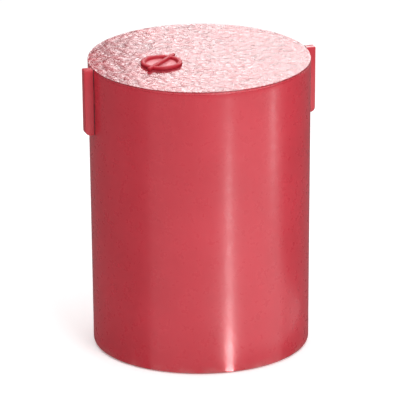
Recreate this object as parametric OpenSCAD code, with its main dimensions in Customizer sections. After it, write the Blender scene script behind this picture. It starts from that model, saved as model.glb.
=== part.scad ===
// Water filled barrier, drum type: a tapered tub with a screwed-down lid, a fill plug,
// two link lugs, an inner divider and a drain in a pocket at the back.
// Origin: centre of the floor, on the ground. +Z up. The lugs lie on the X axis and the
// drain faces +Y. Millimetres.

/* [Body] */
// Height from the ground to the top of the deck
body_h = 800; // [740:10:900]
// Outer diameter at the top
top_d = 600; // [580:4:640]
// Outer diameter at the ground
base_d = 584; // [570:2:580]
// Wall thickness of the tub
wall = 6; // [5:0.5:7]
// Thickness of the floor
floor_t = 8; // [6:1:10]
// Outer radius between wall and floor
foot_r = 12; // [8:1:14]

/* [Deck] */
// Thickness of the lid plate
deck_t = 8; // [7:1:10]
// Edge radius around the top of the lid
rim_r = 4; // [2:0.5:5]
// How far the lid's skirt reaches down inside the tub
skirt_h = 50; // [40:5:60]
// Wall thickness of the skirt
skirt_t = 5; // [4:1:6]
// Depth of the ribs under the lid
rib_h = 22; // [15:1:30]

/* [Fill plug] */
// Distance of the plug from the drum's axis along X
plug_x = -113; // [-130:1:-100]
// Distance of the plug from the drum's axis along Y
plug_y = -21; // [-40:1:0]
// Outer diameter of the grip ring
ring_d = 112; // [110:1:120]
// Wall of the grip ring
ring_t = 13; // [10:1:14]
// Height of the grip ring above the deck
ring_h = 10; // [8:1:14]
// Length of the cross bar
bar_l = 145; // [130:1:160]
// Width of the cross bar
bar_w = 10; // [8:1:14]
// Direction of the cross bar from the X axis
bar_turn = 45; // [0:5:90]

/* [Lugs] */
// How far a lug stands out from the wall
lug_out = 26; // [24:1:32]
// Width of a lug around the drum
lug_w = 25; // [24:1:32]
// Height of a lug
lug_h = 184; // [176:2:200]
// Radius of the lower outer corner
lug_corner_r = 14; // [8:1:18]
// Bore of a threaded insert
insert_hole_d = 8.2; // [8:0.1:8.5]
// Spacing of the two inserts in a lug
insert_spacing = 60; // [50:2:70]

/* [Divider] */
// Height of the divider above the ground
divider_z = 400; // [350:10:450]
// Diameter of the middle hole
divider_hole_d = 200; // [160:10:240]

/* [Drain] */
// Height of the drain's axis above the ground
drain_z = 58; // [56:1:80]
// Diameter of the pocket that shields the drain
pocket_d = 84; // [76:2:88]
// Depth of the pocket from the wall's face
pocket_depth = 36; // [34:1:44]
// Bore of the drain
drain_bore_d = 24; // [20:1:26]

/* [Hidden] */
$fn = 96;

// Colours
shell_red = [0.78, 0.13, 0.17];
deck_red = [0.80, 0.20, 0.23];
lug_red = [0.75, 0.14, 0.18];
plug_red = [0.72, 0.08, 0.13];
rubber_black = [0.08, 0.08, 0.08];
nylon_grey = [0.30, 0.31, 0.33];
sheet_white = [0.88, 0.88, 0.85];
zinc = [0.72, 0.73, 0.74];
brass = [0.80, 0.65, 0.32];

// Clearances
cut = 1;            // how far a cutting shape runs past the face it cuts
slip = 0.3;         // gap between pieces that slide or turn past each other
thread_fit = 0.05;  // radial gap of a running thread, which is modelled plain
gap = 0.1;          // gap between a seal and the moving face that it seals
weld = 0.2;         // depth of the weld between a ledge block and the wall

// Tub
top_r = top_d / 2;
base_r = base_d / 2;
rim_z = body_h - deck_t;
groove_depth = 3;
groove_w = 20;
groove_radii = [90, 190];
arc_steps = 6;

// Lid
seal_h = 5;
seal_drop = 14;
rib_t = 6;
rib_count = 8;
hub_r = 26;
tongue_w = 60;
tongue_drop = 168;
tongue_face = top_r - 21;

// Fill neck, as depths below the deck's top and radii around the plug's axis
bush_drop = 4;
bush_flange_t = 5;
neck_gasket_t = 2;
neck_bore_r = 35;
neck_tube_r = 41.5;
neck_flange_r = 51.7;
neck_seat_r = 52;
neck_hole_r = 42;
neck_boss_r = 68;
neck_boss_t = 12;
neck_nut_t = 14;
neck_tube_end = 6;
bush_top = body_h - bush_drop;
neck_seat_z = bush_top - bush_flange_t - neck_gasket_t;
neck_boss_z = neck_seat_z - neck_boss_t;

// Fill plug
plug_shank_l = 22;
plug_shank_wall = 6;
plug_floor_z = body_h + 1;
plug_disc_r = 51.2;
plug_seal_in = 37;
plug_seal_out = 42;
plug_seal_t = 2.2;

// Lugs
lug_gasket_t = 1.5;
screw_drops = [32, 152];
insert_mid_drop = 92;
insert_r = 6;
insert_l = 15;
insert_floor = 2;
screw_r = 4;
screw_clear_r = 4.5;
screw_l = 48;
head_r = 6.5;
head_h = 6;
hex_socket_r = 3.5;
hex_socket_h = 4;
washer_r = 8;
washer_t = 1.6;
cap_r = 9;
cap_t = 5;
head_seat = 12;
plate_t = 4;
plate_w = 40;
plate_margin = 16;
nut_r = 7.5;
nut_t = 6.8;

// Divider
divider_t = 5;
divider_rim_h = 20;
divider_rim_t = 4;
divider_gap = 2;
vent_d = 24;
vent_at = 240;
ledge_count = 6;
ledge_turn = 30;
ledge_w = 40;
ledge_depth = 28;
ledge_h = 30;
ledge_screw_in = 16;
ledge_screw_r = 3;
ledge_head_r = 5.5;
ledge_head_h = 3.5;
ledge_screw_l = 25;

// Drain, as distances along Y from the pocket's floor
pocket_r = pocket_d / 2;
pocket_wall = 5;
pocket_back = 6;
pocket_floor_y = base_r - pocket_depth;
drain_bore_r = drain_bore_d / 2;
drain_gasket_t = 1.5;
drain_flange_t = 4;
drain_flange_r = drain_bore_r + 14;
drain_tube_r = drain_bore_r + 5;
drain_tube_l = 20;
drain_nut_t = 10;
drain_disc_t = 5;
drain_disc_r = drain_bore_r + 12;
drain_shank_l = 22;
drain_bar_l = 44;
drain_bar_w = 10;
drain_bar_h = 12;
drain_seal_in = drain_bore_r + 2;
drain_seal_out = drain_bore_r + 7;
drain_seal_t = 2;
drain_flange_y = pocket_floor_y + drain_gasket_t + drain_flange_t;

// Outer radius of the drum at height z
function r_out(z) = base_r + (top_r - base_r) * z / body_h;

// Inner radius of the tub at height z
function r_in(z) = r_out(z) - wall;

// Points on an arc round (cx, cy), from angle a to angle b
function arc(cx, cy, r, a, b) =
    [for (i = [0:arc_steps]) let (t = a + (b - a) * i / arc_steps)
        [cx + r * cos(t), cy + r * sin(t)]];

// The solid that the drum's outer face bounds, grown by d
module outer_cone(d = 0) {
    cylinder(h = body_h, r1 = base_r + d, r2 = top_r + d);
}

// The solid that the tub's inner face bounds, shrunk by d
module inner_cone(d = 0) {
    translate([0, 0, floor_t])
        cylinder(h = body_h - floor_t, r1 = r_in(floor_t) - d, r2 = r_in(body_h) - d);
}

// A flat ring between two radii, from z up by h
module ring(r1, r2, z, h) {
    translate([0, 0, z])
        difference() {
            cylinder(h = h, r = r2);
            translate([0, 0, -cut])
                cylinder(h = h + 2 * cut, r = r1);
        }
}

// A cylinder along X from x1 to x2 on one side of the drum, at height z
module x_rod(side, x1, x2, z, r, faces = 0) {
    translate([side * x1, 0, z])
        rotate([0, side * 90, 0])
            cylinder(h = x2 - x1, r = r, $fn = faces > 0 ? faces : $fn);
}

// Moves a child from the Z axis to the fill plug's axis
module at_plug() {
    translate([plug_x, plug_y, 0])
        children();
}

// Turns a child's +Z to +Y and puts it on the drain's axis, at the pocket's floor
module at_drain(y = pocket_floor_y) {
    translate([0, y, drain_z])
        rotate([-90, 0, 0])
            children();
}

// Puts a child at each ledge, turned so that +X points outward
module at_ledges() {
    for (i = [0:ledge_count - 1])
        rotate([0, 0, ledge_turn + i * 360 / ledge_count])
            children();
}

// Holes through a lug, the wall, the tongue and the plate, for both screws
module lug_screw_holes(side) {
    for (drop = screw_drops)
        x_rod(side, tongue_face - plate_t - cut, top_r + lug_out + cut, body_h - drop,
            screw_clear_r);
}

// Tub: tapered wall, floor with two grip grooves, and the drain's pocket
module drum_shell() {
    inner_foot_r = max(foot_r - wall, 2);
    color(shell_red)
        difference() {
            union() {
                rotate_extrude()
                    polygon(concat(
                        [[0, 0]],
                        arc(r_out(foot_r) - foot_r, foot_r, foot_r, -90, 0),
                        [[r_out(rim_z), rim_z], [r_in(rim_z), rim_z]],
                        arc(r_in(floor_t) - inner_foot_r, floor_t + inner_foot_r,
                            inner_foot_r, 0, -90),
                        [[0, floor_t]]));
                intersection() {
                    outer_cone();
                    at_drain(pocket_floor_y - pocket_back)
                        cylinder(h = pocket_depth + pocket_back + wall,
                            r = pocket_r + pocket_wall);
                }
            }
            for (r = groove_radii)
                ring(r, r + groove_w, -cut, groove_depth + cut);
            at_drain()
                cylinder(h = pocket_depth + 2 * wall, r = pocket_r);
            at_drain(pocket_floor_y - pocket_back - cut)
                cylinder(h = pocket_back + 2 * cut, r = drain_tube_r + slip);
            for (side = [-1, 1])
                lug_screw_holes(side);
        }
}

// The lid's tongue behind a lug, flat on its inner face
module tongue(side) {
    intersection() {
        inner_cone(slip);
        translate([side * (tongue_face + top_r) / 2, 0, rim_z - tongue_drop / 2 + deck_t / 2])
            cube([top_r - tongue_face, tongue_w, tongue_drop - deck_t], center = true);
    }
}

// Lid: plate with a rounded rim, skirt, seal groove, ribs, tongues and the neck's seat
module top_deck() {
    color(deck_red)
        difference() {
            union() {
                rotate_extrude()
                    polygon(concat(
                        [[0, rim_z], [r_out(rim_z) - 1, rim_z], [r_out(rim_z + 1), rim_z + 1]],
                        arc(top_r - rim_r, body_h - rim_r, rim_r, 0, 90),
                        [[0, body_h]]));
                intersection() {
                    inner_cone(slip);
                    ring(r_in(rim_z) - skirt_t, top_r, rim_z - skirt_h, skirt_h + cut);
                }
                intersection() {
                    inner_cone(slip + skirt_t / 2);
                    union() {
                        for (i = [0:rib_count - 1])
                            rotate([0, 0, (i + 0.5) * 360 / rib_count])
                                translate([0, -rib_t / 2, rim_z - rib_h])
                                    cube([top_r, rib_t, rib_h + cut]);
                        translate([0, 0, rim_z - rib_h])
                            cylinder(h = rib_h, r = hub_r);
                    }
                }
                at_plug()
                    translate([0, 0, neck_boss_z])
                        cylinder(h = rim_z - neck_boss_z + cut, r = neck_boss_r);
                for (side = [-1, 1])
                    tongue(side);
            }
            ring(r_in(rim_z - seal_drop) - slip - seal_h * 0.6, top_r,
                rim_z - seal_drop - seal_h, seal_h);
            at_plug() {
                translate([0, 0, neck_seat_z])
                    cylinder(h = body_h, r = neck_seat_r);
                translate([0, 0, neck_boss_z - cut])
                    cylinder(h = neck_boss_t + 2 * cut, r = neck_hole_r);
                translate([0, 0, neck_boss_z - body_h])
                    cylinder(h = body_h, r = neck_boss_r - 4);
            }
            for (side = [-1, 1])
                lug_screw_holes(side);
        }
}

// Ring seal between the lid's skirt and the tub
module deck_seal() {
    z = rim_z - seal_drop - seal_h;
    color(rubber_black)
        ring(r_in(z) - slip - seal_h * 0.6 + gap, r_in(z) - gap, z + gap, seal_h - 2 * gap);
}

// Divider: disc with a middle hole, small vents and an upturned rim
module divider() {
    r = r_in(divider_z) - divider_gap;
    color(sheet_white)
        difference() {
            union() {
                translate([0, 0, divider_z])
                    cylinder(h = divider_t, r = r);
                ring(r - divider_rim_t, r, divider_z, divider_rim_h);
            }
            translate([0, 0, divider_z - cut])
                cylinder(h = divider_t + 2 * cut, d = divider_hole_d);
            at_ledges() {
                rotate([0, 0, 180 / ledge_count])
                    translate([vent_at, 0, divider_z - cut])
                        cylinder(h = divider_t + 2 * cut, d = vent_d);
                translate([r_in(divider_z) - ledge_screw_in, 0, divider_z - cut])
                    cylinder(h = divider_t + 2 * cut, r = ledge_screw_r + slip);
            }
        }
}

// Blocks welded to the wall, which carry the divider
module ledge_blocks() {
    color(shell_red)
        difference() {
            intersection() {
                inner_cone(weld);
                at_ledges()
                    translate([r_in(divider_z) - ledge_depth, -ledge_w / 2, divider_z - ledge_h])
                        cube([2 * ledge_depth, ledge_w, ledge_h]);
            }
            at_ledges()
                translate([r_in(divider_z) - ledge_screw_in, 0, divider_z - ledge_screw_l])
                    cylinder(h = ledge_screw_l + cut, r = ledge_screw_r + thread_fit);
        }
}

// Pan head screws that hold the divider on its ledges
module divider_screws() {
    z = divider_z + divider_t;
    color(zinc)
        at_ledges()
            translate([r_in(divider_z) - ledge_screw_in, 0, z]) {
                translate([0, 0, -ledge_screw_l])
                    cylinder(h = ledge_screw_l, r = ledge_screw_r);
                cylinder(h = ledge_head_h, r = ledge_head_r);
            }
}

// Fill neck: flanged bush through the lid
module neck_bush() {
    tube_z = neck_boss_z - neck_nut_t - neck_tube_end;
    color(nylon_grey)
        at_plug() {
            ring(neck_bore_r, neck_flange_r, bush_top - bush_flange_t, bush_flange_t);
            ring(neck_bore_r, neck_tube_r, tube_z, bush_top - bush_flange_t - tube_z + cut);
        }
}

// Flat gasket under the neck's flange
module neck_gasket() {
    color(rubber_black)
        at_plug()
            ring(neck_tube_r + slip, neck_flange_r, neck_seat_z, neck_gasket_t);
}

// A round nut with gripping lobes, from z up by h
module lobed_nut(r1, r2, z, h, lobes) {
    difference() {
        union() {
            ring(r1, r2, z, h);
            for (i = [0:lobes - 1])
                rotate([0, 0, i * 360 / lobes])
                    translate([r2, 0, z])
                        cylinder(h = h, r = h / 3);
        }
        translate([0, 0, z - cut])
            cylinder(h = h + 2 * cut, r = r1);
    }
}

// Locknut of the fill neck, under the lid
module neck_locknut() {
    color(nylon_grey)
        at_plug()
            lobed_nut(neck_tube_r + thread_fit, neck_seat_r, neck_boss_z - neck_nut_t,
                neck_nut_t, 8);
}

// Fill plug: ring grip with a cross bar, disc, and hollow threaded shank
module fill_plug() {
    underside = bush_top + slip;
    ring_r = ring_d / 2;
    top_z = body_h + ring_h;
    shank_r = neck_bore_r - thread_fit;
    clear_z = body_h + slip + gap;
    color(plug_red)
        at_plug()
            difference() {
                union() {
                    translate([0, 0, underside])
                        cylinder(h = plug_floor_z - underside, r = plug_disc_r);
                    ring(ring_r - ring_t, ring_r, clear_z, top_z - clear_z);
                    rotate([0, 0, bar_turn])
                        translate([-bar_l / 2, -bar_w / 2, clear_z])
                            cube([bar_l, bar_w, top_z - clear_z]);
                    translate([0, 0, underside - plug_shank_l])
                        cylinder(h = plug_shank_l + cut, r = shank_r);
                }
                ring(plug_seal_in, plug_seal_out, underside - cut, plug_seal_t + cut);
                translate([0, 0, underside - plug_shank_l - cut])
                    cylinder(h = plug_shank_l + cut, r = shank_r - plug_shank_wall);
            }
}

// Washer in the plug's underside
module fill_plug_seal() {
    color(rubber_black)
        at_plug()
            ring(plug_seal_in + slip, plug_seal_out - slip, bush_top + gap,
                plug_seal_t + slip - 3 * gap);
}

// Link lug: block that fits the wall, with screw and insert bores
module lug(side) {
    low = body_h - lug_h;
    outline = concat(
        [[top_r - lug_out, body_h], [top_r - lug_out, low]],
        arc(r_out(low) + lug_out - lug_corner_r, low + lug_corner_r, lug_corner_r, -90, 0),
        [[top_r + lug_out, body_h]]);
    color(lug_red)
        difference() {
            scale([side, 1, 1])
                rotate([90, 0, 0])
                    linear_extrude(height = lug_w, center = true)
                        polygon(outline);
            outer_cone(lug_gasket_t);
            lug_screw_holes(side);
            for (drop = screw_drops)
                x_rod(side, r_out(body_h - drop) + head_seat, top_r + lug_out + cut,
                    body_h - drop, cap_r);
            at_inserts(side)
                cylinder(h = insert_l + cut, r = insert_r);
        }
}

module lug_left() {
    lug(-1);
}

module lug_right() {
    lug(1);
}

// Sheet gasket between a lug and the wall
module lug_gasket(side) {
    color(rubber_black)
        difference() {
            intersection() {
                outer_cone(lug_gasket_t);
                translate([side * top_r, 0, body_h - lug_h / 2])
                    cube([2 * lug_out, lug_w, lug_h], center = true);
            }
            outer_cone();
            lug_screw_holes(side);
        }
}

module lug_gasket_left() {
    lug_gasket(-1);
}

module lug_gasket_right() {
    lug_gasket(1);
}

// Steel plate against the flat inner face of a tongue
module backing_plate(side) {
    low = body_h - screw_drops[1] - plate_margin;
    high = body_h - screw_drops[0] - plate_margin;
    x_mid = tongue_face - plate_t / 2;
    color(zinc)
        difference() {
            union() {
                translate([side * x_mid, 0, (low + high) / 2])
                    cube([plate_t, plate_w, high - low], center = true);
                x_rod(side, tongue_face - plate_t, tongue_face, body_h - screw_drops[0], plate_w / 2);
            }
            lug_screw_holes(side);
        }
}

module backing_plate_left() {
    backing_plate(-1);
}

module backing_plate_right() {
    backing_plate(1);
}

// Does its child for each of the four lug screws: $side and $z say which
module each_lug_screw() {
    for ($side = [-1, 1])
        for (drop = screw_drops) {
            $z = body_h - drop;
            children();
        }
}

// Socket head screws, entered from the lugs' outer faces
module lug_screws() {
    color(zinc)
        each_lug_screw() {
            seat = r_out($z) + head_seat + washer_t;
            difference() {
                union() {
                    x_rod($side, seat - screw_l, seat, $z, screw_r);
                    x_rod($side, seat, seat + head_h, $z, head_r);
                }
                x_rod($side, seat + head_h - hex_socket_h, seat + head_h + cut, $z,
                    hex_socket_r, 6);
            }
        }
}

// Washers under the screw heads
module lug_washers() {
    color(zinc)
        each_lug_screw() {
            seat = r_out($z) + head_seat;
            difference() {
                x_rod($side, seat, seat + washer_t, $z, washer_r);
                x_rod($side, seat - cut, seat + washer_t + cut, $z, screw_clear_r);
            }
        }
}

// Hex nuts behind the backing plates
module lug_nuts() {
    face = tongue_face - plate_t;
    color(zinc)
        each_lug_screw()
            difference() {
                x_rod($side, face - nut_t, face, $z, nut_r, 6);
                x_rod($side, face - nut_t - cut, face + cut, $z, screw_r + gap);
            }
}

// Push-in caps that close the screw bores flush
module screw_caps() {
    color(lug_red)
        each_lug_screw() {
            face = r_out($z) + lug_out;
            x_rod($side, face - cap_t, face, $z, cap_r);
        }
}

// Puts a child at the floor of each insert bore of one lug, with +Z out of its mouth
module at_inserts(side) {
    mid = body_h - insert_mid_drop;
    x = r_out(mid) + (lug_gasket_t + lug_out) / 2;
    for (z = [mid - insert_spacing / 2, mid + insert_spacing / 2])
        translate([side * x, lug_w / 2 - insert_l, z])
            rotate([-90, 0, 0])
                children();
}

// Brass inserts in the back face of a lug, threaded for link plates
module link_inserts(side) {
    color(brass)
        at_inserts(side)
            difference() {
                cylinder(h = insert_l, r = insert_r);
                translate([0, 0, insert_floor])
                    cylinder(h = insert_l, d = insert_hole_d);
            }
}

module link_inserts_left() {
    link_inserts(-1);
}

module link_inserts_right() {
    link_inserts(1);
}

// Drain: flanged bush through the pocket's floor
module drain_bush() {
    color(nylon_grey)
        at_drain() {
            ring(drain_bore_r, drain_flange_r, drain_gasket_t, drain_flange_t);
            ring(drain_bore_r, drain_tube_r, -drain_tube_l, drain_tube_l + drain_gasket_t + cut);
        }
}

// Flat gasket under the drain's flange
module drain_gasket() {
    color(rubber_black)
        at_drain()
            ring(drain_tube_r + slip, drain_flange_r, 0, drain_gasket_t);
}

// Locknut of the drain, inside the tub
module drain_locknut() {
    color(nylon_grey)
        at_drain(pocket_floor_y - pocket_back)
            lobed_nut(drain_tube_r + thread_fit, drain_flange_r - 2, -drain_nut_t,
                drain_nut_t, 6);
}

// Drain plug: disc with a bar grip and a threaded shank
module drain_plug() {
    color(plug_red)
        at_drain(drain_flange_y + slip)
            difference() {
                union() {
                    cylinder(h = drain_disc_t, r = drain_disc_r);
                    translate([-drain_bar_l / 2, -drain_bar_w / 2, drain_disc_t - cut])
                        cube([drain_bar_l, drain_bar_w, drain_bar_h + cut]);
                    translate([0, 0, -drain_shank_l])
                        cylinder(h = drain_shank_l + cut, r = drain_bore_r - thread_fit);
                }
                ring(drain_seal_in, drain_seal_out, -cut, drain_seal_t + cut);
            }
}

// Washer in the drain plug's underside
module drain_plug_seal() {
    color(rubber_black)
        at_drain(drain_flange_y)
            ring(drain_seal_in + slip, drain_seal_out - slip, gap,
                drain_seal_t + slip - 3 * gap);
}

drum_shell();
top_deck();
deck_seal();
divider();
ledge_blocks();
divider_screws();
neck_bush();
neck_gasket();
neck_locknut();
fill_plug();
fill_plug_seal();
lug_left();
lug_right();
lug_gasket_left();
lug_gasket_right();
backing_plate_left();
backing_plate_right();
lug_screws();
lug_washers();
lug_nuts();
screw_caps();
link_inserts_left();
link_inserts_right();
drain_bush();
drain_gasket();
drain_locknut();
drain_plug();
drain_plug_seal();
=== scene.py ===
"""Water filled barrier, drum type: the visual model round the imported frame.

Metres, +Z up. The lugs lie on the X axis and the drain faces +Y. Radii and heights follow
the CAD nodes' boxes. Each piece is closed mesh work that replaces its CAD node, and the
inner parts, which the closed drum hides, keep their CAD meshes with materials of their own.
"""

import math

import bmesh
import bpy
from mathutils import Matrix, Vector, noise


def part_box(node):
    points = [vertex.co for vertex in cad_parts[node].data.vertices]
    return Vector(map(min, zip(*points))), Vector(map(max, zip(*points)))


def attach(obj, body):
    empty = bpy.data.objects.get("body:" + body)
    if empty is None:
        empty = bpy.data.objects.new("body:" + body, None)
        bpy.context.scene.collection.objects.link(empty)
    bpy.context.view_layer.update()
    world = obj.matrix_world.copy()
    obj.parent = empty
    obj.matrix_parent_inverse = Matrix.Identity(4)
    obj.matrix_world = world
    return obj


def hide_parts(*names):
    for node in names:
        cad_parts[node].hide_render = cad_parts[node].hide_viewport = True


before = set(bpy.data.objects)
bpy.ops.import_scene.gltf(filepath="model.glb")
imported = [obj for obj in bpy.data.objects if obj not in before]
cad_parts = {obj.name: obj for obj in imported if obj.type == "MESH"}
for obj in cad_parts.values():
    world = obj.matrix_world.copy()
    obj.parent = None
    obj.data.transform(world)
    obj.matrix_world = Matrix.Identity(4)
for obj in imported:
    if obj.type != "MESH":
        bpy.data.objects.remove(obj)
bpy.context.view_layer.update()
MM = 0.001

# ------------------------------------------------------------------ dimensions
TOP_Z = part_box("top_deck")[1].z
R_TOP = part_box("top_deck")[1].y
RIM_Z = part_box("drum_shell")[1].z
LEAN = 8 * MM  # how much narrower the drum's radius is at the ground
WALL = 6 * MM
FLOOR = 8 * MM
FOOT_R = 12 * MM
DECK_EDGE = 1.6 * MM

PLUG = (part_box("neck_bush")[0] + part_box("neck_bush")[1]) / 2
BUSH_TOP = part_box("neck_bush")[1].z
PLUG_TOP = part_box("fill_plug")[1].z
PLUG_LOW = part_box("fill_plug")[0].z
RING_OUT = 56 * MM
RING_IN = 43 * MM
BAR_LONG = 145 * MM
BAR_WIDE = 10 * MM
BAR_TURN = math.radians(45)
NECK_BORE = 35 * MM
NECK_SEAT = 52 * MM

LUG_OUT = 26 * MM
LUG_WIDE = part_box("lug_left")[1].y * 2
LUG_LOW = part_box("lug_left")[0].z
LUG_CORNER = 14 * MM
LUG_EDGE = 2.6 * MM
GASKET = 1.5 * MM
CAP_R = 9 * MM
INSERT_R = 6 * MM
INSERT_LONG = 15 * MM
SCREW_HOLE_R = 4.5 * MM
SCREW_Z = (TOP_Z - 32 * MM, TOP_Z - 152 * MM)

DRAIN_Z = (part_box("drain_bush")[0].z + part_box("drain_bush")[1].z) / 2
POCKET_R = 42 * MM
POCKET_FLOOR_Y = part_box("drain_gasket")[0].y
POCKET_WALL = 5 * MM
POCKET_BACK = 6 * MM
DRAIN_BORE = 12 * MM
DRAIN_HOLE_R = 17.3 * MM
MOUTH = 5 * MM  # radius of the roll at the pocket's mouth

WAVE = 0.35 * MM  # how far the moulded wall wanders from a true cone
GRAIN_HIGH = 0.45 * MM  # the deck's pebbles above its nominal plane
GRAIN_LOW = 1.05 * MM  # and the valleys below it
PEEL = 0.08 * MM  # the wall's orange peel

FILL_PITCH = 6 * MM
DRAIN_PITCH = 4 * MM
INSERT_PITCH = 1.25 * MM


def wall_r(z):
    """Outer radius of the drum at height z."""
    return R_TOP - LEAN * (1 - z / TOP_Z)


# ---------------------------------------------------------------- mesh helpers
def arc(cx, cy, r, start, end, steps):
    """Points on an arc round (cx, cy), angles in degrees."""
    turns = [math.radians(start + (end - start) * i / steps) for i in range(steps + 1)]
    return [(cx + r * math.cos(t), cy + r * math.sin(t)) for t in turns]


def rounded(points, radii, steps=4):
    """An outline with its corners rounded, each by its own radius."""
    count = len(points)
    out = []
    for i, (p, r) in enumerate(zip(points, radii)):
        here = Vector(p)
        to_last = (Vector(points[i - 1]) - here).normalized()
        to_next = (Vector(points[(i + 1) % count]) - here).normalized()
        if r <= 0 or abs(to_last.dot(to_next)) > 0.999:
            out.append(tuple(here))
            continue
        half = math.acos(max(-1, min(1, to_last.dot(to_next)))) / 2
        back = r / math.tan(half)
        centre = here + (to_last + to_next).normalized() * (r / math.sin(half))
        first = here + to_last * back - centre
        last = here + to_next * back - centre
        turn = math.atan2(first.x * last.y - first.y * last.x, first.dot(last))
        a0 = math.atan2(first.y, first.x)
        for s in range(steps + 1):
            a = a0 + turn * s / steps
            out.append((centre.x + r * math.cos(a), centre.y + r * math.sin(a)))
    return out


def split(start, end, steps):
    """Points from start up to, not including, end."""
    return [
        (start[0] + (end[0] - start[0]) * i / steps, start[1] + (end[1] - start[1]) * i / steps)
        for i in range(steps)
    ]


def mesh_from(name, verts, faces):
    """A mesh of those points and faces."""
    mesh = bpy.data.meshes.new(name)
    mesh.from_pydata([tuple(v) for v in verts], [], faces)
    mesh.validate()
    mesh.update()
    return mesh


def lathe(name, outline, segments, relief=None):
    """A closed outline of (radius, height) points turned round Z. Points at radius 0 are
    poles. relief(r, z, angle) gives each vertex's own (radius, height)."""
    verts, faces, rows = [], [], []
    for r, z in outline:
        if r < 1e-7:
            rows.append([len(verts)])
            verts.append((0, 0, z))
            continue
        rows.append(range(len(verts), len(verts) + segments))
        for j in range(segments):
            a = 2 * math.pi * j / segments
            rr, zz = relief(r, z, a) if relief else (r, z)
            verts.append((rr * math.cos(a), rr * math.sin(a), zz))
    for i, row in enumerate(rows):
        other = rows[(i + 1) % len(rows)]
        if len(row) == 1 and len(other) == 1:
            continue
        for j in range(segments):
            k = (j + 1) % segments
            if len(row) == 1:
                faces.append((row[0], other[k], other[j]))
            elif len(other) == 1:
                faces.append((row[j], row[k], other[0]))
            else:
                faces.append((row[j], row[k], other[k], other[j]))
    mesh = mesh_from(name, verts, faces)
    outward(mesh)
    return mesh


def extruded(name, outline, low, high):
    """A prism of an (x, z) outline from y = low to y = high."""
    n = len(outline)
    verts = [(x, low, z) for x, z in outline] + [(x, high, z) for x, z in outline]
    faces = [tuple(range(n)), tuple(range(2 * n - 1, n - 1, -1))]
    faces += [(i, i + n, (i + 1) % n + n, (i + 1) % n) for i in range(n)]
    mesh = mesh_from(name, verts, faces)
    outward(mesh)
    return mesh


def block(name, size, centre=(0, 0, 0)):
    """A box mesh of that size."""
    x, z = size[0] / 2, size[2] / 2
    outline = [(-x, -z), (x, -z), (x, z), (-x, z)]
    mesh = extruded(name, outline, -size[1] / 2, size[1] / 2)
    mesh.transform(Matrix.Translation(centre))
    return mesh


def outward(mesh):
    """Turns all faces outward."""
    bm = bmesh.new()
    bm.from_mesh(mesh)
    bmesh.ops.remove_doubles(bm, verts=bm.verts, dist=1e-7)
    bmesh.ops.recalc_face_normals(bm, faces=bm.faces)
    bm.to_mesh(mesh)
    bm.free()


def modified(mesh, kind, **settings):
    """The mesh after one modifier of that kind."""
    obj = bpy.data.objects.new("work", mesh)
    bpy.context.scene.collection.objects.link(obj)
    mod = obj.modifiers.new("work", kind)
    for key, value in settings.items():
        setattr(mod, key, value)
    shape = obj.evaluated_get(bpy.context.evaluated_depsgraph_get())
    result = bpy.data.meshes.new_from_object(shape)
    bpy.data.objects.remove(obj)
    return result


def combined(mesh, other, operation):
    """The boolean of two closed meshes."""
    tool = bpy.data.objects.new("tool", other)
    bpy.context.scene.collection.objects.link(tool)
    result = modified(mesh, "BOOLEAN", object=tool, operation=operation, solver="EXACT")
    bpy.data.objects.remove(tool)
    return result


def moved(mesh, matrix):
    """The mesh after a transform, its faces still outward if the transform mirrors it."""
    mesh.transform(matrix)
    if matrix.determinant() < 0:
        mesh.flip_normals()
    return mesh


def placed(mesh, at, turn=0.0):
    """The mesh turned about Z and moved to a place."""
    return moved(mesh, Matrix.Translation(at) @ Matrix.Rotation(turn, 4, "Z"))


def facing(mesh, direction, at):
    """The mesh with its +Z turned to a direction and its origin moved to a place."""
    turn = Vector(direction).to_track_quat("Z", "Y").to_matrix().to_4x4()
    return moved(mesh, Matrix.Translation(at) @ turn)


def smooth(mesh, degrees):
    """Smooth shading, with edges sharper than that angle kept."""
    mesh.shade_smooth()
    mesh.set_sharp_from_angle(angle=math.radians(degrees))


def piece(name, mesh, body, nodes, materials, degrees=32):
    """A finished piece: it rides on its body and stands for its CAD nodes."""
    smooth(mesh, degrees)
    mesh.name = name
    mesh.materials.clear()
    for material in materials:
        mesh.materials.append(material)
    obj = bpy.data.objects.new(name, mesh)
    bpy.context.scene.collection.objects.link(obj)
    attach(obj, body)
    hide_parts(*nodes)
    return obj


def eased(x, low, high):
    """0 below low, 1 above high, and smooth between."""
    t = min(1.0, max(0.0, (x - low) / (high - low)))
    return t * t * (3 - 2 * t)


def crest(along, angle, pitch):
    """How high a right-hand thread stands: 0 in its root and 1 on its crest."""
    phase = (along / pitch - angle / (2 * math.pi)) % 1.0
    from_crest = abs(phase - 0.5) * 2
    root_at, flank = 0.78, 0.42
    return min(1.0, max(0.0, (root_at - from_crest) / flank))


def threaded(core, pitch, depth, start, end, sunk=0.0):
    """A relief for lathe(): a thread on the vertices at radius core. It grows over the two
    heights in start and fades over those in end. sunk sets its root below core."""

    def relief(r, z, angle):
        if abs(r - core) > 1e-6:
            return r, z
        held = eased(z, *start) * eased(-z, -end[1], -end[0])
        return r - sunk + depth * held * crest(z, angle, pitch), z

    return relief


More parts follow.
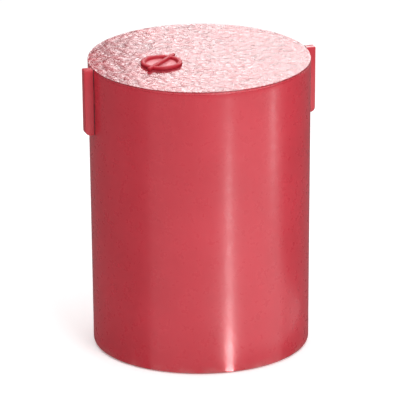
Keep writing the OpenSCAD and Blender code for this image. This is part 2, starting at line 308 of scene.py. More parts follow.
# ------------------------------------------------------------------- materials
class Surface:
    """A material under construction: short calls for its nodes."""

    def __init__(self, name, colour, roughness, ior=1.5, metallic=0.0, coat=0.0, coat_rough=0.1):
        self.material = bpy.data.materials.new(name)
        self.material.use_nodes = True
        self.tree = self.material.node_tree
        self.shader = self.tree.nodes["Principled BSDF"]
        self.shader.inputs["Base Color"].default_value = (*colour, 1)
        self.shader.inputs["Roughness"].default_value = roughness
        self.shader.inputs["IOR"].default_value = ior
        self.shader.inputs["Metallic"].default_value = metallic
        self.shader.inputs["Coat Weight"].default_value = coat
        self.shader.inputs["Coat Roughness"].default_value = coat_rough
        self.place = self.tree.nodes.new("ShaderNodeTexCoord").outputs["Object"]
        self.normal = None

    def node(self, kind, links=(), **settings):
        """A new node, with sockets linked or set by name."""
        made = self.tree.nodes.new("ShaderNode" + kind)
        for key, value in settings.items():
            setattr(made, key, value)
        for socket, value in dict(links).items():
            if isinstance(value, bpy.types.NodeSocket):
                self.tree.links.new(value, made.inputs[socket])
            else:
                made.inputs[socket].default_value = value
        return made

    def stretched(self, x, y, z):
        """The object's place, scaled along each axis."""
        return self.node("Mapping", {"Vector": self.place, "Scale": (x, y, z)}).outputs[0]

    def noise(self, scale, detail=2.0, rough=0.5, vector=None):
        """Soft noise from 0 to 1, with scale features to the metre."""
        links = {"Vector": vector or self.place, "Scale": scale, "Detail": detail}
        links["Roughness"] = rough
        return self.node("TexNoise", links).outputs[0]

    def cells(self, scale):
        """The distance to the nearest of scattered points."""
        links = {"Vector": self.place, "Scale": scale}
        return self.node("TexVoronoi", links).outputs["Distance"]

    def ramp(self, value, low, high, out_low=0.0, out_high=1.0):
        """value from low..high brought to out_low..out_high, clamped and smooth."""
        links = {"Value": value, "From Min": low, "From Max": high}
        links.update({"To Min": out_low, "To Max": out_high})
        return self.node("MapRange", links, interpolation_type="SMOOTHSTEP").outputs[0]

    def maths(self, operation, a, b):
        """The result of an operation on two numbers or sockets."""
        made = self.node("Math", operation=operation)
        for socket, value in zip(made.inputs, (a, b)):
            if isinstance(value, bpy.types.NodeSocket):
                self.tree.links.new(value, socket)
            else:
                socket.default_value = value
        return made.outputs[0]

    def mixed(self, factor, a, b):
        """A blend from colour a to colour b."""
        made = self.node("Mix", data_type="RGBA")
        for socket, value in zip((made.inputs[0], made.inputs[6], made.inputs[7]), (factor, a, b)):
            if isinstance(value, bpy.types.NodeSocket):
                self.tree.links.new(value, socket)
            elif isinstance(value, (int, float)):
                socket.default_value = value
            else:
                socket.default_value = (*value, 1)
        return made.outputs[2]

    def height(self):
        """The height above the ground."""
        return self.node("SeparateXYZ", {"Vector": self.place}).outputs[2]

    def bump(self, height, distance):
        """Adds a relief of that depth, in metres, to those added before."""
        links = {"Height": height, "Distance": distance, "Strength": 1.0}
        if self.normal is not None:
            links["Normal"] = self.normal
        self.normal = self.node("Bump", links).outputs[0]

    def done(self, colour, roughness=None):
        """The finished material."""
        self.tree.links.new(colour, self.shader.inputs["Base Color"])
        if roughness is not None:
            self.tree.links.new(roughness, self.shader.inputs["Roughness"])
        if self.normal is not None:
            self.tree.links.new(self.normal, self.shader.inputs["Normal"])
        return self.material


RED = (0.50, 0.026, 0.043)
RED_DEEP = (0.42, 0.018, 0.031)
RED_PALE = (0.56, 0.048, 0.066)
RED_PLUG = (0.42, 0.010, 0.024)
# painted shade: the deck is the same plastic as the wall, given a darker red to hold down the
# light from above
RED_DECK_SHADED = (0.20, 0.016, 0.026)
# painted shade for the creases between the deck's pebbles
RED_CREASE_SHADE = (0.17, 0.010, 0.016)
SCUFF = (0.55, 0.17, 0.18)
DUST = (0.42, 0.30, 0.27)
# painted glare: pale pinks that stand in for the softbox's reflection on the fill plug's floor
PALE_GLARE = (0.66, 0.24, 0.26)
PINK_GLARE = (0.54, 0.11, 0.13)


def moulded_red(name, rough):
    """Satin rotomoulded polyethylene: mottled, with orange peel, faint scuffs and low dust."""
    s = Surface(name, RED, rough, ior=1.42, coat=0.08, coat_rough=0.15)
    clouds = s.ramp(s.noise(5, 3), 0.30, 0.72, 0.45, 1.0)
    colour = s.mixed(clouds, RED_DEEP, RED)
    specks = s.ramp(s.noise(420, 2, 0.6), 0.60, 0.74, 0.0, 0.45)
    colour = s.mixed(specks, colour, RED_PALE)
    flow = s.ramp(s.noise(26, 4, 0.6, s.stretched(3.2, 3.2, 0.35)), 0.45, 0.75, 0.0, 0.12)
    colour = s.mixed(flow, colour, RED_PALE)
    marks = s.ramp(s.noise(60, 5, 0.7, s.stretched(1.0, 1.0, 6.0)), 0.66, 0.72)
    low = s.ramp(s.height(), 0.10, 0.0)
    scuffs = s.maths("MULTIPLY", marks, s.maths("ADD", s.maths("MULTIPLY", low, 0.5), 0.05))
    colour = s.mixed(scuffs, colour, SCUFF)
    dust_and_glare = s.maths("MULTIPLY", s.ramp(s.noise(18, 4), 0.3, 0.8), s.ramp(s.height(), 0.03, 0.0))
    colour = s.mixed(s.maths("MULTIPLY", dust_and_glare, 0.35), colour, DUST)
    wander = s.ramp(s.noise(34, 4, 0.65), 0.3, 0.75, rough - 0.03, rough + 0.05)
    roughness = s.maths("ADD", wander, s.maths("MULTIPLY", scuffs, 0.3))
    s.bump(s.noise(48, 2, 0.5), PEEL * 2.5)
    s.bump(s.noise(165, 2, 0.5), PEEL)
    s.bump(s.noise(520, 2, 0.6), PEEL * 0.25)
    return s.done(colour, roughness)


def pebbled_red(name):
    """The deck's coarse grain: the pebbles are in the mesh, and the finer grain is here. Its
    colour carries painted shade, a darker red than the wall's that deepens in the creases, and
    painted light on the tops of the pebbles and of the fine grain.
    """
    # the deck's base is the darker, shaded copy of the wall's red (painted shade)
    s = Surface(name, RED_DECK_SHADED, 0.36, ior=1.5)
    clouds = s.ramp(s.noise(9, 4, 0.6), 0.35, 0.68, 0.0, 0.45)
    colour = s.mixed(clouds, RED_DECK_SHADED, RED)
    cells = s.cells(330)
    # painted highlight: the fine grain's raised centres are tinted paler
    colour = s.mixed(s.ramp(cells, 0.0, 0.9, 0.25, 0.0), colour, RED_PALE)
    # painted light and shade by height: the creases are darkened and the pebbles' tops are
    # lightened
    lift = s.ramp(s.height(), TOP_Z - 0.7 * GRAIN_LOW, TOP_Z + 0.5 * GRAIN_HIGH)
    colour = s.mixed(lift, s.mixed(0.55, colour, RED_CREASE_SHADE), s.mixed(0.30, colour, RED))
    worn = s.ramp(s.noise(75, 5, 0.7), 0.56, 0.70, 0.0, 0.35)
    colour = s.mixed(worn, colour, SCUFF)
    top = s.ramp(s.height(), TOP_Z - 3.5 * MM, TOP_Z - 1.6 * MM)
    colour = s.mixed(top, RED, colour)
    roughness = s.ramp(s.noise(85, 4, 0.7), 0.38, 0.62, 0.21, 0.37)
    s.bump(s.maths("SUBTRACT", 1.0, cells), 0.14 * MM)
    s.bump(s.noise(600, 3, 0.6), 0.06 * MM)
    return s.done(colour, roughness)


def plug_red(name):
    """The deep red of the two screw plugs, duller than the wall, with handling marks."""
    s = Surface(name, RED_PLUG, 0.50, ior=1.36)
    colour = s.mixed(s.ramp(s.noise(40, 3), 0.35, 0.7), RED_DEEP, RED_PLUG)
    marks = s.ramp(s.noise(160, 5, 0.7, s.stretched(1, 3, 1)), 0.60, 0.70, 0.0, 0.35)
    colour = s.mixed(marks, colour, SCUFF)
    roughness = s.ramp(s.noise(220, 3), 0.3, 0.7, 0.44, 0.60)
    s.bump(s.noise(300, 2), 0.06 * MM)
    return s.done(colour, roughness)


def glare_painted_floor(name):
    """The fill plug's grained floor inside its ring, painted pale pink: a painted glare that
    stands in for the softbox's reflection, which the ring shades.
    """
    s = Surface(name, PALE_GLARE, 0.45)
    # the mask spreads the painted glare in paler and pinker patches
    dust_and_glare = s.ramp(s.noise(190, 4, 0.65), 0.38, 0.60)
    colour = s.mixed(dust_and_glare, PINK_GLARE, PALE_GLARE)
    roughness = s.ramp(dust_and_glare, 0.0, 1.0, 0.38, 0.60)
    s.bump(s.noise(230, 3, 0.6), 0.25 * MM)
    return s.done(colour, roughness)


def rubber(name):
    """Black sheet rubber with a fine matt grain."""
    black, bloom = (0.018, 0.018, 0.019), (0.045, 0.044, 0.043)
    s = Surface(name, black, 0.65)
    colour = s.mixed(s.ramp(s.noise(60, 4), 0.3, 0.7), black, bloom)
    roughness = s.ramp(s.noise(200, 3), 0.3, 0.7, 0.55, 0.78)
    s.bump(s.noise(900, 2), 0.05 * MM)
    return s.done(colour, roughness)


def nylon(name, colour, light):
    """Moulded nylon: even colour with a fine matt grain."""
    s = Surface(name, colour, 0.45)
    shade = s.mixed(s.ramp(s.noise(30, 4), 0.3, 0.7), colour, light)
    roughness = s.ramp(s.noise(150, 3), 0.3, 0.7, 0.38, 0.55)
    s.bump(s.noise(700, 2), 0.05 * MM)
    return s.done(shade, roughness)


def metal(name, colour, worn, rough, grain):
    """Turned or rolled metal: fine lines along one direction and dull patches."""
    s = Surface(name, colour, rough, metallic=1.0)
    shade = s.mixed(s.ramp(s.noise(80, 5, 0.65), 0.45, 0.75), colour, worn)
    lines = s.noise(900, 2, 0.5, s.stretched(*grain))
    roughness = s.ramp(lines, 0.3, 0.7, rough - 0.08, rough + 0.12)
    s.bump(lines, 0.02 * MM)
    return s.done(shade, roughness)


SHELL_RED = moulded_red("shell_red", rough=0.29)
LUG_RED = moulded_red("lug_red", rough=0.34)
DECK_RED = pebbled_red("deck_red")
PLUG_RED = plug_red("plug_red")
PLUG_FLOOR = glare_painted_floor("plug_floor")
RUBBER = rubber("seal_black")
NYLON = nylon("nylon_grey", (0.085, 0.09, 0.10), (0.12, 0.125, 0.135))
SHEET = nylon("divider_white", (0.72, 0.72, 0.68), (0.80, 0.80, 0.77))
ZINC = metal("zinc", (0.62, 0.63, 0.65), (0.42, 0.43, 0.44), 0.34, (1, 1, 0.05))
BRASS = metal("brass", (0.76, 0.55, 0.24), (0.52, 0.36, 0.15), 0.28, (1, 0.05, 1))


# ------------------------------------------------------------------ the pieces
def wave(r, z, angle):
    """Gentle wandering of the outer wall, always inward of the true cone."""
    if r < wall_r(z) - WALL / 3 or z < FOOT_R or z > RIM_Z - 2 * MM:
        return r, z
    along, across = math.cos(angle), math.sin(angle)
    swing = noise.noise(Vector((along * 1.6, across * 1.6, z * 3.0)))
    swing += 0.5 * noise.noise(Vector((along * 4, across * 4, z * 7 + 9)))
    from_drain = math.hypot(r * along, z - DRAIN_Z) if across > 0 else 1.0
    fade = eased(z, FOOT_R, 4 * FOOT_R) * eased(RIM_Z - z, 0, 40 * MM)
    fade *= eased(from_drain, POCKET_R + 2 * MOUTH, POCKET_R + 8 * MOUTH)
    return r - WAVE * fade * (0.5 + 0.45 * swing), z


def dense(outline, longest):
    """A closed outline with its long edges split."""
    out = []
    for i, start in enumerate(outline):
        end = outline[(i + 1) % len(outline)]
        out += split(start, end, max(1, math.ceil(math.dist(start, end) / longest)))
    return out


def pocket_sag(r, h, angle):
    """Bends the drain pocket's mouth to follow the round, leaning wall."""
    x, z = r * math.cos(angle), DRAIN_Z + r * math.sin(angle)
    wall = math.sqrt(wall_r(z) ** 2 - x * x) - wall_r(DRAIN_Z)
    return r, h + wall * eased(h, 8 * MM, 26 * MM)


def to_drain(mesh, y=POCKET_FLOOR_Y):
    """From a piece's own axis to the drain's, which points out along +Y."""
    turn = Matrix.Rotation(math.radians(-90), 4, "X")
    return moved(mesh, Matrix.Translation((0, y, DRAIN_Z)) @ turn)


def cylinder(r, low, high, segments):
    """A closed cylinder round Z."""
    return lathe("cylinder", [(0, low), (r, low), (r, high), (0, high)], segments)


def rod(x1, x2, r, z):
    """A closed cylinder along X, at height z."""
    return facing(cylinder(r, 0, abs(x2 - x1), 48), (1, 0, 0), (min(x1, x2), 0, z))


def joined(meshes):
    """Several meshes as one."""
    bm = bmesh.new()
    for mesh in meshes:
        bm.from_mesh(mesh)
    out = bpy.data.meshes.new("joined")
    bm.to_mesh(out)
    bm.free()
    return out


def screw_holes():
    """Rods along X through the wall behind both lugs, for their screws."""
    inner, outer = R_TOP - 40 * MM, R_TOP + 2 * LUG_OUT
    sides = (-1, 1)
    return joined([rod(s * inner, s * outer, SCREW_HOLE_R, z) for s in sides for z in SCREW_Z])


def tub():
    """The wall and the floor, with two rings let in under the floor for grip."""
    base, rim = wall_r(0), wall_r(RIM_Z)
    ring_deep, ring_wide, edge = 3 * MM, 20 * MM, 1.2 * MM
    inner_corner, inner_edge = 8 * MM, 1 * MM
    # Each corner is a radius, a height and how far it is rounded.
    corners = [(0, 0, 0)]
    for r in (90 * MM, 190 * MM):
        corners += [(r, 0, edge), (r, ring_deep, edge)]
        corners += [(r + ring_wide, ring_deep, edge), (r + ring_wide, 0, edge)]
    corners += [(base, 0, FOOT_R), (rim, RIM_Z, edge), (rim - WALL, RIM_Z, inner_edge)]
    corners += [(base - WALL, FLOOR, inner_corner), (0, FLOOR, 0)]
    outline = rounded([c[:2] for c in corners], [c[2] for c in corners], 6)
    return lathe("tub", dense(outline, 14 * MM), 320, wave)


def pocket_cup():
    """The cup behind the drain's pocket, which ends inside the wall."""
    r = POCKET_R + POCKET_WALL
    high = wall_r(DRAIN_Z) - POCKET_FLOOR_Y + POCKET_BACK - WALL / 2
    outline = rounded([(0, 0), (r, 0), (r, high), (0, high)], [0, 4 * MM, 0, 0])
    cup = lathe("cup", dense(outline, 4 * MM), 96, pocket_sag)
    return to_drain(cup, POCKET_FLOOR_Y - POCKET_BACK)


def pocket_space():
    """The space of the drain's pocket, with a rolled mouth."""
    face = wall_r(DRAIN_Z) - POCKET_FLOOR_Y
    past, over, corner = 15 * MM, 0.5 * MM, 4 * MM
    end = POCKET_R + MOUTH + 1.5 * MM
    outline = [(0, 0), (POCKET_R, 0), (POCKET_R, face - MOUTH - 1 * MM)]
    outline = rounded(outline, [0, corner, 0], 5)
    outline += arc(POCKET_R + MOUTH, face - MOUTH, MOUTH, 180, 98, 8)
    outline += [(end, face + over), (end, face + past), (0, face + past)]
    return to_drain(lathe("mouth", dense(outline, 6 * MM), 128, pocket_sag))


def make_shell():
    """The tub with its drain pocket and screw holes."""
    shell = combined(tub(), pocket_cup(), "UNION")
    drain_hole = to_drain(cylinder(DRAIN_HOLE_R, -9 * MM, 3 * MM, 64))
    for space in (pocket_space(), drain_hole, screw_holes()):
        shell = combined(shell, space, "DIFFERENCE")
    piece("shell", shell, "drum", ["drum_shell"], [SHELL_RED])


def disc_grid(count, radius):
    """A disc of even quads: points, faces and the order of the points round its edge."""
    points, index = [], {}
    for i in range(count + 1):
        for j in range(count + 1):
            a, b = 2 * i / count - 1, 2 * j / count - 1
            if a == 0 and b == 0:
                r, t = 0.0, 0.0
            elif abs(a) > abs(b):
                r, t = a, math.pi / 4 * b / a
            else:
                r, t = b, math.pi / 2 - math.pi / 4 * a / b
            index[i, j] = len(points)
            points.append((radius * r * math.cos(t), radius * r * math.sin(t)))
    faces = [
        (index[i, j], index[i + 1, j], index[i + 1, j + 1], index[i, j + 1])
        for i in range(count)
        for j in range(count)
    ]
    side = range(count)
    edge = [index[i, 0] for i in side] + [index[count, j] for j in side]
    edge += [index[count - i, count] for i in side] + [index[0, count - j] for j in side]
    return points, faces, edge


def noise_at(x, y, scale, layer):
    """Smooth noise from -1 to 1 over the deck, with its own pattern for each layer."""
    return noise.noise(Vector((x * scale, y * scale, layer)))


def pebble(x, y):
    """Height of the deck's grain: irregular rounded pebbles with creases between them."""
    warp = Vector((noise_at(x, y, 55, 3), noise_at(x, y, 55, 7), 0))
    gaps, centres = noise.voronoi(Vector((x, y, 0)) * 74 + warp * 0.9)
    dome = eased(gaps[1] - gaps[0], -0.25, 0.85)
    lift = 0.65 + 0.35 * noise.noise(centres[0] * 3.1)
    return (dome * lift - 0.5) * 0.7 + noise_at(x, y, 46, 0) * 0.75 + noise_at(x, y, 105, 5) * 0.3


def deck_slab():
    """The deck's pebbled top and its edge, turned over the rim, closed underneath."""
    flat_r = R_TOP - DECK_EDGE
    points, faces, edge = disc_grid(260, flat_r)
    verts = []
    for x, y in points:
        from_plug = math.hypot(x - PLUG.x, y - PLUG.y)
        fade = eased(from_plug, RING_OUT + 1 * MM, RING_OUT + 5 * MM)
        fade *= eased(flat_r - math.hypot(x, y), -1 * MM, 2 * MM)
        h = pebble(x, y)
        verts.append((x, y, TOP_Z + fade * h * (GRAIN_HIGH if h > 0 else GRAIN_LOW)))
    low = RIM_Z - 0.04 * MM
    under = [(wall_r(RIM_Z) + 0.01 * MM, low + 1.0 * MM), (wall_r(RIM_Z) - 0.9 * MM, low)]
    under += [(R_TOP - 20 * MM, low)]
    ring = edge
    for r, z in arc(flat_r, TOP_Z - DECK_EDGE, DECK_EDGE, 90, 0, 7)[1:] + under:
        row = []
        for v in edge:
            x, y = points[v]
            k = r / math.hypot(x, y)
            row.append(len(verts))
            verts.append((x * k, y * k, z))
        faces += [(ring[i - 1], ring[i], row[i], row[i - 1]) for i in range(len(edge))]
        ring = row
    verts.append((0, 0, low))
    faces += [(ring[i - 1], ring[i], len(verts) - 1) for i in range(len(edge))]
    slab = mesh_from("slab", verts, faces)
    outward(slab)
    return slab


def neck_seat():
    """The space of the neck bush's seat in the deck, with a rolled edge."""
    seat, edge, past = NECK_SEAT - 0.1 * MM, 1 * MM, 5 * MM
    low = RIM_Z - 9.04 * MM
    outline = [(0, low), (seat, low), (seat, TOP_Z - edge)]
    for turn in (0.4, 0.8, 1.2):
        outline += [(seat + edge * (1 - math.cos(turn)), TOP_Z - edge + edge * math.sin(turn))]
    outline += [(seat + edge, TOP_Z + past), (0, TOP_Z + past)]
    return placed(lathe("seat", outline, 160), (PLUG.x, PLUG.y, 0))


def make_deck():
    """The lid: the CAD node's skirt and tongues under a pebbled slab."""
    slab = combined(deck_slab(), neck_seat(), "DIFFERENCE")
    wide, high = 3 * R_TOP, 40 * MM
    above = block("above", (wide, wide, high), (0, 0, TOP_Z - 4 * MM + high / 2))
    lower = combined(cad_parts["top_deck"].data.copy(), above, "DIFFERENCE")
    deck = combined(lower, slab, "UNION")
    piece("deck", deck, "drum", ["top_deck"], [DECK_RED], 50)


def lead_in_bore(r, deep, lead, past):
    """The space of a blind bore up +Z that widens at its mouth and runs past it."""
    over = 0.2 * MM
    outline = [(0, 0), (r, 0), (r, deep + over - lead), (r + lead, deep + over)]
    outline += [(r + lead, deep + past), (0, deep + past)]
    return lathe("bore", outline, 64)


def insert_places():
    """(x, z) of the two inserts in the right lug."""
    mid, apart = TOP_Z - 92 * MM, 60 * MM
    x = wall_r(mid) + (GASKET + LUG_OUT) / 2
    return [(x, mid - apart / 2), (x, mid + apart / 2)]


def lug_block():
    """The right lug's block, with its back cut to the wall's cone."""
    outline = [(R_TOP - LUG_OUT, TOP_Z), (R_TOP - LUG_OUT, LUG_LOW)]
    corner_x = wall_r(LUG_LOW) + LUG_OUT - LUG_CORNER
    outline += arc(corner_x, LUG_LOW + LUG_CORNER, LUG_CORNER, -90, 0, 8)
    outline += [(R_TOP + LUG_OUT, TOP_Z)]
    lug = extruded("lug", outline, -LUG_WIDE / 2, LUG_WIDE / 2)
    sharp = math.radians(40)
    lug = modified(
        lug, "BEVEL", width=LUG_EDGE, segments=3, limit_method="ANGLE", angle_limit=sharp
    )
    high = TOP_Z * 1.1
    cone = [(0, 0), (wall_r(0) + GASKET, 0), (wall_r(high) + GASKET, high), (0, high)]
    return combined(lug, lathe("cone", cone, 512), "DIFFERENCE")


def make_lug(side, name):
    """A lug with its counterbored screw holes and the seats of its inserts."""
    lug = lug_block()
    head_seat = 12 * MM
    cuts = []
    for z in SCREW_Z:
        seat = wall_r(z) + head_seat
        cuts.append(rod(R_TOP - 5 * MM, seat + 1 * MM, SCREW_HOLE_R, z))
        bore = lead_in_bore(CAP_R, LUG_OUT - head_seat, 0.8 * MM, 9 * MM)
        cuts.append(facing(bore, (1, 0, 0), (seat, 0, z)))
    for x, z in insert_places():
        bore = lead_in_bore(INSERT_R, INSERT_LONG, 0.6 * MM, 5 * MM)
        cuts.append(facing(bore, (0, 1, 0), (x, LUG_WIDE / 2 - INSERT_LONG, z)))
    for space in cuts:
        lug = combined(lug, space, "DIFFERENCE")
    if side < 0:
        lug = moved(lug, Matrix.Diagonal((-1, 1, 1, 1)))
    piece(name, lug, "drum", [name], [LUG_RED])


def make_inserts(side, name):
    """A lug's two brass inserts, each a closed bush with an M8 thread in it."""
    deep, core, floor = INSERT_LONG, 4.1 * MM, 2 * MM
    outline = [(0, 0), (INSERT_R - 0.1 * MM, 0), (INSERT_R - 0.1 * MM, deep - 0.4 * MM)]
    outline += [(INSERT_R - 0.5 * MM, deep), (core + 0.7 * MM, deep), (core, deep - 0.7 * MM)]
    outline += split((core, deep - 0.8 * MM), (core, floor), 60) + [(core, floor), (0, floor)]
    start = (floor + 0.45 * MM, floor + 0.55 * MM)
    end = (deep - 0.95 * MM, deep - 0.85 * MM)
    thread = threaded(core, INSERT_PITCH, 0.45 * MM, start, end)
    meshes = []
    for x, z in insert_places():
        insert = lathe("insert", outline, 48, thread)
        meshes.append(facing(insert, (0, 1, 0), (side * x, LUG_WIDE / 2 - deep, z)))
    piece(name, joined(meshes), "drum", [name], [BRASS])


def make_caps():
    """The four caps over the lugs' screws, each with a shallow dimple."""
    r, high, chamfer = CAP_R - 0.15 * MM, 5 * MM, 0.5 * MM
    outline = [(0, 0), (r, 0), (r, high - 0.4 * MM), (r - chamfer, high - 0.05 * MM)]
    outline += [(3.2 * MM, high), (2.6 * MM, high - 0.5 * MM), (0, high - 0.6 * MM)]
    meshes = []
    for side in (-1, 1):
        for z in SCREW_Z:
            at = (side * (wall_r(z) + LUG_OUT - 5.05 * MM), 0, z)
            meshes.append(facing(lathe("cap", outline, 48), (side, 0, 0), at))
    piece("screw_caps_red", joined(meshes), "drum", ["screw_caps"], [LUG_RED])


def make_fill_plug():
    """The fill plug: a hollow threaded shank, a disc with a ring grip, and the cross bar."""
    under = BUSH_TOP + 0.3 * MM
    ring_top = PLUG_TOP - 1 * MM
    floor, lip = TOP_Z + 1 * MM, TOP_Z + 0.4 * MM
    shank, bore, disc = NECK_BORE - 0.05 * MM, NECK_BORE - 6.05 * MM, 51.2 * MM
    seal_in, seal_out, seal_deep = 37 * MM, 42 * MM, 2.2 * MM
    depth, roll = 2.2 * MM, 4.6 * MM
    outline = [(0, under), (bore, under), (bore, PLUG_LOW), (shank, PLUG_LOW)]
    outline += split((shank, PLUG_LOW + 0.5 * MM), (shank, under - 1 * MM), 64)
    outline += [(shank, under - 1 * MM), (shank, under)]
    outline += [(seal_in, under), (seal_in, under + seal_deep), (seal_out, under + seal_deep)]
    top = [(seal_out, under), (disc, under), (disc, lip), (RING_OUT, lip), (RING_OUT, ring_top)]
    top += [(RING_IN, ring_top), (RING_IN, floor), (0, floor)]
    outline += rounded(top, [0, 0.5 * MM, 0.3 * MM, 1 * MM, roll, roll, 2.5 * MM, 0], 8)
    start, end = (PLUG_LOW, PLUG_LOW + 3 * MM), (under - 3 * MM, under - 1 * MM)
    thread = threaded(shank, FILL_PITCH, depth, start, end, sunk=depth)
    plug = lathe("plug", outline, 160, thread)
    bar = block("bar", (BAR_LONG, BAR_WIDE, PLUG_TOP - lip), (0, 0, (PLUG_TOP + lip) / 2))
    bar = modified(bar, "BEVEL", width=2.6 * MM, segments=5)
    plug = combined(plug, placed(bar, (0, 0, 0), BAR_TURN), "UNION")
    plug = placed(plug, (PLUG.x, PLUG.y, 0))
    # the plug's floor inside the ring takes the painted glare
    reds = [PLUG_RED, PLUG_FLOOR]
    made = piece("fill_plug_grip", plug, "fill_cap", ["fill_plug"], reds, 40)
    for face in made.data.polygons:
        out = math.hypot(face.center.x - PLUG.x, face.center.y - PLUG.y)
        flat = abs(face.center.z - floor) < 0.1 * MM and face.normal.z > 0.99
        if flat and out < RING_IN:
            face.material_index = 1


def make_neck_bush():
    """The fill neck: a flanged bush with the plug's thread in it."""
    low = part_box("neck_bush")[0].z
    tube, flange, flange_low = 41.5 * MM, 51.7 * MM, BUSH_TOP - 5 * MM
    outline = [(NECK_BORE, low), (tube, low), (tube, flange_low), (flange, flange_low)]
    outline += [(flange, BUSH_TOP), (NECK_BORE, BUSH_TOP)]
    outline = rounded(outline, [0, 1 * MM, 0, 0.5 * MM, 0.8 * MM, 0.8 * MM])
    outline += split((NECK_BORE, BUSH_TOP - 1 * MM), (NECK_BORE, low + 1 * MM), 90)
    start, end = (low + 4 * MM, low + 8 * MM), (BUSH_TOP - 4 * MM, BUSH_TOP - 1.5 * MM)
    thread = threaded(NECK_BORE, FILL_PITCH, 2 * MM, start, end)
    bush = placed(lathe("bush", outline, 160, thread), (PLUG.x, PLUG.y, 0))
    piece("neck_bush_threaded", bush, "drum", ["neck_bush"], [NYLON], 40)


def make_drain_plug():
    """The drain plug: a threaded shank, a disc with a scalloped rim, and a bar grip."""
    shank, disc, disc_high = DRAIN_BORE - 0.05 * MM, DRAIN_BORE + 12 * MM, 5 * MM
    seal_in, seal_out, seal_deep = 14 * MM, 19 * MM, 2 * MM
    depth, long = 1.5 * MM, 22 * MM
    scallops, scallop = 24, 0.5 * MM
    outline = [(0, -long), (shank, -long)]
    outline += split((shank, -long + 0.4 * MM), (shank, -1 * MM), 60)
    outline += [(shank, -1 * MM), (shank, 0), (seal_in, 0)]
    outline += [(seal_in, seal_deep), (seal_out, seal_deep)]
    top = [(seal_out, 0), (disc, 0), (disc, disc_high), (0, disc_high)]
    outline += rounded(top, [0, 0.6 * MM, 1.4 * MM, 0])
    start, end = (-long, -long + 2.5 * MM), (-2.5 * MM, -1 * MM)
    thread = threaded(shank, DRAIN_PITCH, depth, start, end, sunk=depth)

    def shaped(r, z, angle):
        if r > disc - 1.6 * MM:
            return r - scallop * (0.5 + 0.5 * math.cos(scallops * angle)), z
        return thread(r, z, angle)

    plug = lathe("drain", outline, 192, shaped)
    bar = block("bar", (44 * MM, 10 * MM, 13 * MM), (0, 0, 10.5 * MM))
    bar = modified(bar, "BEVEL", width=1.8 * MM, segments=4)
    seat_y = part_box("drain_bush")[1].y + 0.3 * MM
    plug = to_drain(combined(plug, bar, "UNION"), seat_y)
    piece("drain_plug_grip", plug, "drain_cap", ["drain_plug"], [PLUG_RED], 40)


def make_drain_bush():
    """The drain's flanged bush, with the drain plug's thread in it."""
    low, under, top = -20 * MM, 1.5 * MM, 5.5 * MM
    tube, flange = DRAIN_BORE + 5 * MM, DRAIN_BORE + 14 * MM
    outline = [(DRAIN_BORE, low), (tube, low), (tube, under), (flange, under)]
    outline += [(flange, top), (DRAIN_BORE, top)]
    outline = rounded(outline, [0, 0.8 * MM, 0, 0.4 * MM, 1 * MM, 0.6 * MM])
    outline += split((DRAIN_BORE, top - 0.8 * MM), (DRAIN_BORE, low + 1 * MM), 70)
    start, end = (low + 1 * MM, low + 3 * MM), (top - 3 * MM, top - 1 * MM)
    thread = threaded(DRAIN_BORE, DRAIN_PITCH, 1.3 * MM, start, end)
    bush = to_drain(lathe("bush", outline, 96, thread))
    piece("drain_bush_threaded", bush, "drum", ["drain_bush"], [NYLON], 40)


def dress(node, material):
    """Gives a CAD node that stays its material."""
    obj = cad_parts[node]
    if not obj.material_slots:
        obj.data.materials.append(material)
    for s in obj.material_slots:
        s.material = material


make_shell()
make_deck()
make_lug(-1, "lug_left")
make_lug(1, "lug_right")
make_inserts(-1, "link_inserts_left")
make_inserts(1, "link_inserts_right")
make_caps()
make_fill_plug()
make_neck_bush()
make_drain_plug()
make_drain_bush()
INNER = {
    "deck_seal": RUBBER,
    "neck_gasket": RUBBER,
    "fill_plug_seal": RUBBER,
    "lug_gasket_left": RUBBER,
    "lug_gasket_right": RUBBER,
    "drain_gasket": RUBBER,
    "drain_plug_seal": RUBBER,
    "divider": SHEET,
    "ledge_blocks": SHELL_RED,
    "neck_locknut": NYLON,
    "drain_locknut": NYLON,
    "divider_screws": ZINC,
    "backing_plate_left": ZINC,
    "backing_plate_right": ZINC,
    "lug_screws": ZINC,
    "lug_washers": ZINC,
    "lug_nuts": ZINC,
}
for node, material in INNER.items():
    dress(node, material)


# ------------------------------------------------------------- stage and light
CAMERA_TURN = -17.5  # azimuth of the camera, in degrees


def direction(azimuth, elevation):
    """Unit vector from the drum: azimuth 0 is -Y and 90 is +X, in degrees."""
    a, e = math.radians(azimuth), math.radians(elevation)
    return Vector((math.sin(a) * math.cos(e), -math.cos(a) * math.cos(e), math.sin(e)))


def floor_sheet():
    """A plain pale floor with a faint tone of its own."""
    s = Surface("floor_pale", (0.92, 0.92, 0.92), 0.8)
    tone = s.mixed(s.ramp(s.noise(0.8, 2), 0.3, 0.7), (0.91, 0.91, 0.91), (0.93, 0.93, 0.93))
    s.shader.inputs["Emission Color"].default_value = (1, 1, 1, 1)
    s.shader.inputs["Emission Strength"].default_value = 0.22
    half = 14.0
    low = -0.1 * MM  # clear of the drum's flat underside
    verts = [(-half, -half, low), (half, -half, low), (half, half, low), (-half, half, low)]
    mesh = mesh_from("floor", verts, [(0, 1, 2, 3)])
    mesh.materials.append(s.done(tone))
    floor = bpy.data.objects.new("floor", mesh)
    bpy.context.scene.collection.objects.link(floor)


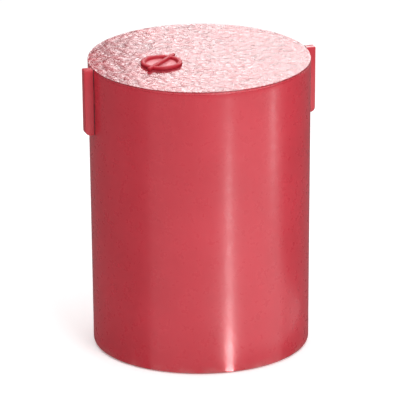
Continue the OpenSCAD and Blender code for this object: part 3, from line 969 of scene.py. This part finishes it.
def dark_card():
    """A grey sheet on the floor that only glossy rays meet: it keeps the wall's edges deep."""
    s = Surface("card_grey", (0.16, 0.16, 0.16), 0.9)
    tone = s.mixed(s.ramp(s.noise(2, 2), 0.3, 0.7), (0.15, 0.15, 0.15), (0.17, 0.17, 0.17))
    steps, reach = 12, 4.0
    turns = []
    for first, last in ((30, 72.5), (252.5, 315)):
        turns += [first + (last - first) * i / steps for i in range(steps + 1)]
    lift = Vector((0, 0, 0.5 * MM))
    inner = [direction(a, 0) * (wall_r(0) - 4 * MM) + lift for a in turns]
    # A point of the wall at azimuth a mirrors the camera's line of sight to 2a - CAMERA_TURN.
    outer = [v + direction(2 * a - CAMERA_TURN, 0) * reach for v, a in zip(inner, turns)]
    count = len(turns)
    faces = [(i, i + 1, count + i + 1, count + i) for i in range(count - 1)]
    mesh = mesh_from("dark_card", [tuple(v) for v in inner + outer], faces)
    mesh.materials.append(s.done(tone))
    card = bpy.data.objects.new("dark_card", mesh)
    bpy.context.scene.collection.objects.link(card)
    card.visible_camera = False
    card.visible_diffuse = False
    card.visible_shadow = False


def lamp(name, at, aim, size, watts):
    """A white rectangular area light at a place, facing another, that no camera sees."""
    data = bpy.data.lights.new(name, "AREA")
    data.shape = "RECTANGLE"
    data.size, data.size_y = size
    data.energy = watts
    obj = bpy.data.objects.new(name, data)
    obj.location = at
    face = (Vector(aim) - Vector(at)).to_track_quat("-Z", "Y")
    obj.rotation_euler = face.to_matrix().to_euler()
    obj.visible_camera = False
    bpy.context.scene.collection.objects.link(obj)
    return obj


MIDDLE = Vector((0, 0, TOP_Z / 2))
GROUND = Vector((0, 0, 1.5 * MM))
# Name, azimuths of the start and of the heading, near end, far end, width and radiance.
PANELS = (
    ("line_0", -2.2, 13.1, 0.0, 0.12, 0.024, 20),
    ("line_1", -2.2, 13.1, 0.12, 0.30, 0.031, 33),
    ("line_2", -2.2, 13.1, 0.30, 0.60, 0.045, 18),
    ("line_3", -2.2, 13.1, 0.60, 1.10, 0.075, 15),
    ("line_4", -2.2, 13.1, 1.10, 1.90, 0.12, 14),
    ("line_5", -2.2, 13.1, 1.90, 2.30, 0.10, 7),
    ("second_0", 23.4, 65.0, 1.25, 1.65, 0.12, 5),
    ("second_1", 23.4, 65.0, 1.65, 2.60, 0.13, 14),
    ("side_glow", 10.0, 42.0, 0.15, 2.20, 1.1, 0.8),
)


def floor_panel(name, start, heading, near, far, wide, radiance):
    """A strip of light on the floor, from the wall's foot at azimuth start, along heading."""
    middle = direction(heading, 0) * ((near + far) / 2)
    at = direction(start, 0) * wall_r(0) + middle + GROUND
    size = (wide, far - near)
    strip = lamp(name, at, at + Vector((0, 0, 1)), size, math.pi * size[0] * size[1] * radiance)
    strip.rotation_euler = (math.pi, 0, math.radians(heading))
    strip.visible_diffuse = False


def light_studio():
    """A white world, a softbox behind, the key, the light from above and the floor strips."""
    world = bpy.data.worlds.new("studio")
    world.use_nodes = True
    background = world.node_tree.nodes["Background"]
    background.inputs["Color"].default_value = (1, 1, 1, 1)
    background.inputs["Strength"].default_value = 0.30
    bpy.context.scene.world = world
    # The softbox behind, on the camera's right, which only reflections show.
    at = direction(180 + CAMERA_TURN, 0) * 2.1 + direction(90 + CAMERA_TURN, 0) * 0.89
    softbox = lamp("back_softbox", at + Vector((0, 0, 1.67)), (0, 0, 0.9), (2.5, 0.46), 31)
    softbox.visible_diffuse = False
    # The key, high on the right of the camera, and the even light from above.
    lamp("key_softbox", MIDDLE + direction(12, 32) * 3.2, MIDDLE, (1.6, 1.4), 52)
    lamp("top_softbox", (0, 0.8, 4.2), (0, 0.8, 0), (6.0, 6.0), 205)
    # Strips along the floor, which the wall mirrors as its bright lines.
    for panel in PANELS:
        floor_panel(*panel)


def set_camera():
    """A long lens, a little above the drum and to its left."""
    elevation, distance, roll = 19.23, 17.26, -0.37
    data = bpy.data.cameras.new("camera")
    data.lens = 574.5
    data.sensor_width = 36
    camera = bpy.data.objects.new("camera", data)
    back = direction(CAMERA_TURN, elevation)
    right = Vector((0, 0, 1)).cross(back).normalized()
    up = back.cross(right)
    spin = Matrix.Rotation(math.radians(roll), 3, back)
    camera.location = MIDDLE + back * distance - up * 4.7 * MM - right * 0.4 * MM
    camera.rotation_euler = (spin @ Matrix((right, up, back)).transposed()).to_euler()
    data.clip_start, data.clip_end = 1.0, 60.0
    bpy.context.scene.collection.objects.link(camera)
    bpy.context.scene.camera = camera


floor_sheet()
dark_card()
light_studio()
set_camera()
bpy.context.scene.view_settings.view_transform = "Standard"
